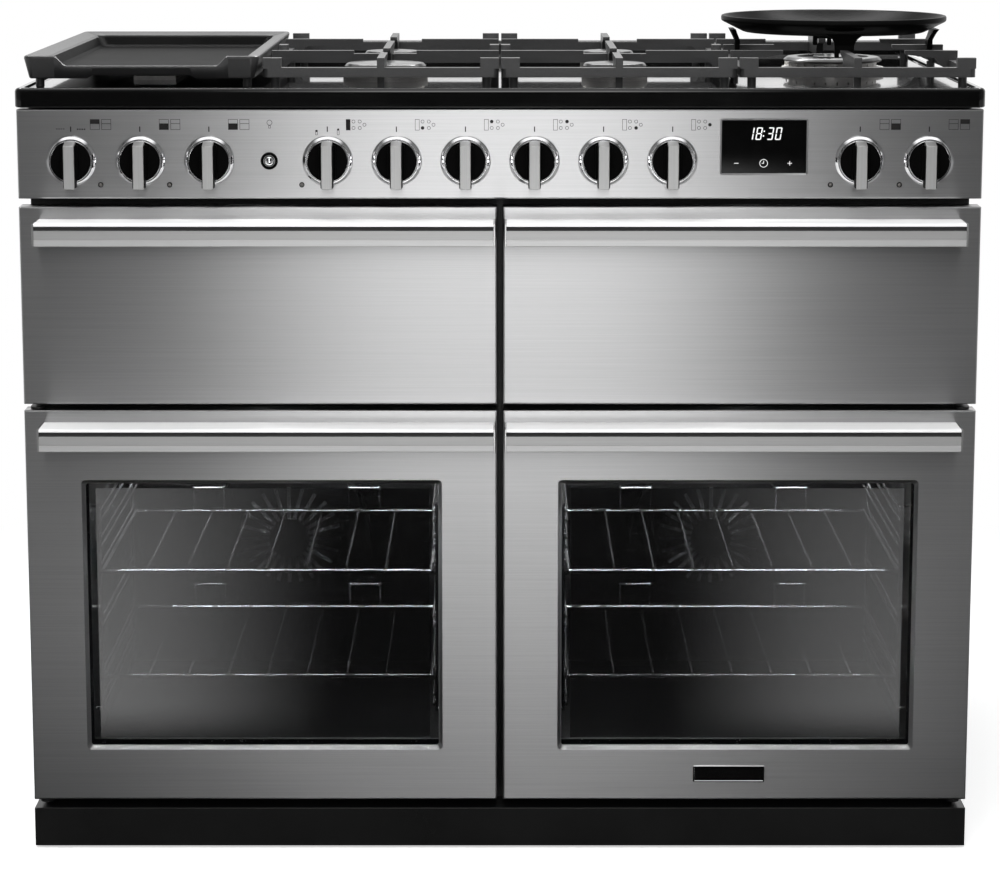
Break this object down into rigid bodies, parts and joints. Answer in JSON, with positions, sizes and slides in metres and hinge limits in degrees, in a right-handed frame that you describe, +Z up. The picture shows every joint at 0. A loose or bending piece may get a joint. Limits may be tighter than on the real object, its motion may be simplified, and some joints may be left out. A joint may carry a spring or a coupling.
{
  "type": "range cooker",
  "caption": "Wide free-standing range cooker with two side-hung ovens, a grill door, a storage drawer, a gas hob with griddle and wok ring, a clock and rotary controls.",
  "frame": {"origin": "on the floor, under the middle of the cooker over its full depth with the handles", "axes": "+X to the right as seen from the front, +Y to the back, +Z up"},
  "size_m": [1.092, 0.651, 0.957],
  "materials": {
    "steel": "horizontal brushed stainless steel",
    "case_paint": "satin black powder coat",
    "back_sheet": "plain zinc-coated sheet",
    "base_sheet": "black painted steel",
    "oven_enamel": "dark grey speckled enamel",
    "hob_enamel": "high gloss black enamel",
    "plinth_paint": "satin black paint",
    "foot_plastic": "black moulded foot on a steel stud",
    "clock_face": "gloss black display window in a plastic case",
    "bezel_chrome": "polished chrome",
    "lens_red": "clear red neon lens",
    "brass_parts": "brass taps on a gas rail, with moulded switch bodies",
    "burner_alloy": "cast aluminium burner base",
    "burner_enamel": "matt black enamel cap",
    "wire_chrome": "chromed steel wire",
    "cover_steel": "dark enamel fan cover",
    "motor_steel": "plated steel motor shell",
    "element_steel": "dark sheathed heating element",
    "seal_fibre": "black woven heat seal",
    "pan_enamel": "gloss black enamelled pan",
    "door_glass": "tinted door glass",
    "inner_enamel": "black enamelled inner door",
    "handle_alloy": "polished and satin anodised aluminium",
    "drawer_steel": "plated steel drawer box",
    "rail_steel": "zinc-plated runner",
    "iron": "matt black cast iron",
    "fan_steel": "pressed aluminium fan",
    "roller_steel": "plated steel rollers on an axle",
    "knob_black": "gloss black plate under a brushed steel grip bar",
    "button_chrome": "domed chrome button"
  },
  "bodies": {
    "cabinet": {"side_panels": "case_paint", "back_panel": "back_sheet", "chassis_base": "base_sheet", "front_frame": "case_paint", "plinth": "plinth_paint", "levelling_feet": "foot_plastic", "left_oven_liner": "oven_enamel", "right_oven_liner": "oven_enamel", "grill_chamber": "oven_enamel", "drawer_housing": "oven_enamel", "control_panel": "steel", "clock": "clock_face", "knob_bezels": "bezel_chrome", "indicator_lenses": "lens_red", "taps_and_switches": "brass_parts", "hob_top": "hob_enamel", "burner_bodies": "burner_alloy", "burner_caps": "burner_enamel", "oven_shelves": "wire_chrome", "shelf_racks": "wire_chrome", "fan_covers": "cover_steel", "fan_motors": "motor_steel", "heating_elements": "element_steel", "door_seals": "seal_fibre", "grill_pan": "pan_enamel"},
    "left_door": {"left_door_panel": "steel", "left_door_glass": "door_glass", "left_door_inner": "inner_enamel", "left_door_handle": "handle_alloy"},
    "right_door": {"right_door_panel": "steel", "right_door_glass": "door_glass", "right_door_inner": "inner_enamel", "right_door_handle": "handle_alloy"},
    "grill_door": {"grill_door_panel": "steel", "grill_door_inner": "inner_enamel", "grill_door_handle": "handle_alloy"},
    "drawer": {"drawer_front": "steel", "drawer_box": "drawer_steel", "drawer_handle": "handle_alloy"},
    "mid_rails": {"drawer_mid_rails": "rail_steel"},
    "knob_1": {"knob_1": "knob_black"},
    "knob_2": {"knob_2": "knob_black"},
    "knob_3": {"knob_3": "knob_black"},
    "knob_4": {"knob_4": "knob_black"},
    "knob_5": {"knob_5": "knob_black"},
    "knob_6": {"knob_6": "knob_black"},
    "knob_7": {"knob_7": "knob_black"},
    "knob_8": {"knob_8": "knob_black"},
    "knob_9": {"knob_9": "knob_black"},
    "knob_10": {"knob_10": "knob_black"},
    "knob_11": {"knob_11": "knob_black"},
    "light_button": {"light_button": "button_chrome"},
    "left_fan": {"left_fan": "fan_steel"},
    "right_fan": {"right_fan": "fan_steel"},
    "rollers": {"rear_rollers": "roller_steel"},
    "griddle": {"griddle_plate": "iron"},
    "left_support": {"pan_support_left": "iron"},
    "centre_support": {"pan_support_centre": "iron"},
    "right_support": {"pan_support_right": "iron"},
    "wok_ring_body": {"wok_ring": "iron"}
  },
  "joints": [
    {"name": "left_door_hinge", "type": "hinge", "parent": "cabinet", "child": "left_door", "pos_m": [-0.53, -0.2705, 0.29], "axis": [0, 0, -1], "range_deg": [0, 105]},
    {"name": "right_door_hinge", "type": "hinge", "parent": "cabinet", "child": "right_door", "pos_m": [0.53, -0.2705, 0.29], "axis": [0, 0, 1], "range_deg": [0, 105]},
    {"name": "grill_door_hinge", "type": "hinge", "parent": "cabinet", "child": "grill_door", "pos_m": [-0.27365, -0.276, 0.536], "axis": [1, 0, 0], "range_deg": [0, 90]},
    {"name": "drawer_slide", "type": "slide", "parent": "cabinet", "child": "drawer", "axis": [0, -1, 0], "range_m": [0, 0.38]},
    {"name": "mid_rail_slide", "type": "slide", "parent": "cabinet", "child": "mid_rails", "axis": [0, -1, 0], "range_m": [0, 0.19]},
    {"name": "knob_1_turn", "type": "hinge", "parent": "cabinet", "child": "knob_1", "pos_m": [-0.4829, -0.2825, 0.808], "axis": [0, 1, 0], "range_deg": [-180, 180]},
    {"name": "knob_2_turn", "type": "hinge", "parent": "cabinet", "child": "knob_2", "pos_m": [-0.4052, -0.2825, 0.808], "axis": [0, 1, 0], "range_deg": [0, 270]},
    {"name": "knob_3_turn", "type": "hinge", "parent": "cabinet", "child": "knob_3", "pos_m": [-0.3275, -0.2825, 0.808], "axis": [0, 1, 0], "range_deg": [0, 270]},
    {"name": "knob_4_turn", "type": "hinge", "parent": "cabinet", "child": "knob_4", "pos_m": [-0.19425, -0.2825, 0.808], "axis": [0, -1, 0], "range_deg": [0, 240]},
    {"name": "knob_5_turn", "type": "hinge", "parent": "cabinet", "child": "knob_5", "pos_m": [-0.11655, -0.2825, 0.808], "axis": [0, -1, 0], "range_deg": [0, 240]},
    {"name": "knob_6_turn", "type": "hinge", "parent": "cabinet", "child": "knob_6", "pos_m": [-0.03885, -0.2825, 0.808], "axis": [0, -1, 0], "range_deg": [0, 240]},
    {"name": "knob_7_turn", "type": "hinge", "parent": "cabinet", "child": "knob_7", "pos_m": [0.03885, -0.2825, 0.808], "axis": [0, -1, 0], "range_deg": [0, 240]},
    {"name": "knob_8_turn", "type": "hinge", "parent": "cabinet", "child": "knob_8", "pos_m": [0.11655, -0.2825, 0.808], "axis": [0, -1, 0], "range_deg": [0, 240]},
    {"name": "knob_9_turn", "type": "hinge", "parent": "cabinet", "child": "knob_9", "pos_m": [0.19425, -0.2825, 0.808], "axis": [0, -1, 0], "range_deg": [0, 240]},
    {"name": "knob_10_turn", "type": "hinge", "parent": "cabinet", "child": "knob_10", "pos_m": [0.4052, -0.2825, 0.808], "axis": [0, 1, 0], "range_deg": [0, 270]},
    {"name": "knob_11_turn", "type": "hinge", "parent": "cabinet", "child": "knob_11", "pos_m": [0.4829, -0.2825, 0.808], "axis": [0, 1, 0], "range_deg": [0, 270]},
    {"name": "light_button_press", "type": "slide", "parent": "cabinet", "child": "light_button", "axis": [0, 1, 0], "range_m": [0, 0.0025], "stiffness_N_per_m": 200},
    {"name": "left_fan_spin", "type": "hinge", "parent": "cabinet", "child": "left_fan", "pos_m": [-0.27365, 0.158, 0.274], "axis": [0, 1, 0], "continuous": true},
    {"name": "right_fan_spin", "type": "hinge", "parent": "cabinet", "child": "right_fan", "pos_m": [0.27365, 0.158, 0.274], "axis": [0, 1, 0], "continuous": true},
    {"name": "rear_roller_spin", "type": "hinge", "parent": "cabinet", "child": "rollers", "pos_m": [0, 0.234, 0.022], "axis": [1, 0, 0], "continuous": true},
    {"name": "griddle_lift", "type": "slide", "parent": "cabinet", "child": "griddle", "axis": [0, 0, 1], "range_m": [0, 0.12]},
    {"name": "left_support_lift", "type": "slide", "parent": "cabinet", "child": "left_support", "axis": [0, 0, 1], "range_m": [0, 0.12]},
    {"name": "centre_support_lift", "type": "slide", "parent": "cabinet", "child": "centre_support", "axis": [0, 0, 1], "range_m": [0, 0.12]},
    {"name": "right_support_lift", "type": "slide", "parent": "cabinet", "child": "right_support", "axis": [0, 0, 1], "range_m": [0, 0.12]},
    {"name": "wok_ring_lift", "type": "slide", "parent": "right_support", "child": "wok_ring_body", "axis": [0, 0, 1], "range_m": [0, 0.12]}
  ],
  "couplings": [
    {"joint": "mid_rail_slide", "follows": "drawer_slide", "ratio": 0.5}
  ]
}
